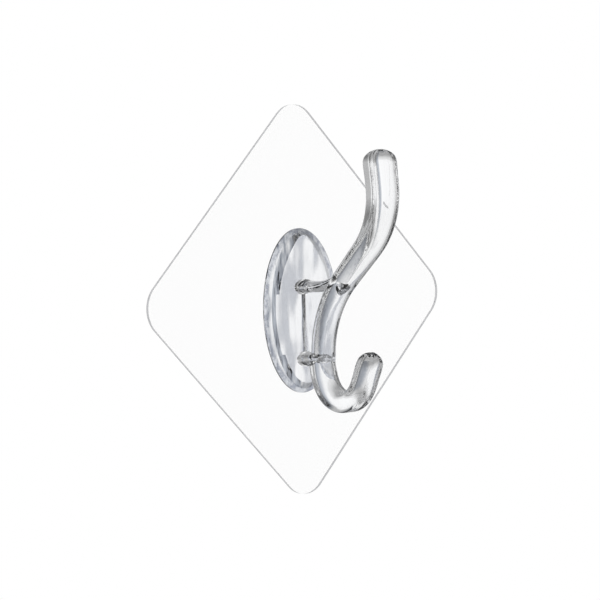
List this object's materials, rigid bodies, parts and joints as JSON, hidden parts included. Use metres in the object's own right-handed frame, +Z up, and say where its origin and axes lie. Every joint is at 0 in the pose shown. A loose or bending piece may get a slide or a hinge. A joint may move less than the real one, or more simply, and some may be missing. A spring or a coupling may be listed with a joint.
{
  "type": "adhesive wall hook",
  "caption": "Clear plastic wall hook with an upper and a lower prong on an oval base, bonded to a square self-adhesive film that hangs on its corner.",
  "frame": {"origin": "centre of the adhesive face, on the wall's surface", "axes": "+Y into the wall, square to the adhesive face; +Z up; the prongs stand out towards -Y"},
  "size_m": [0.0798, 0.0281, 0.0798],
  "materials": {
    "clear_plastic": "clear, polished",
    "clear_film": "clear, glossy",
    "clear_adhesive": "clear, tacky"
  },
  "bodies": {
    "root": {"hook": "clear_plastic", "backing_sheet": "clear_film", "adhesive_layer": "clear_adhesive"}
  },
  "joints": []
}
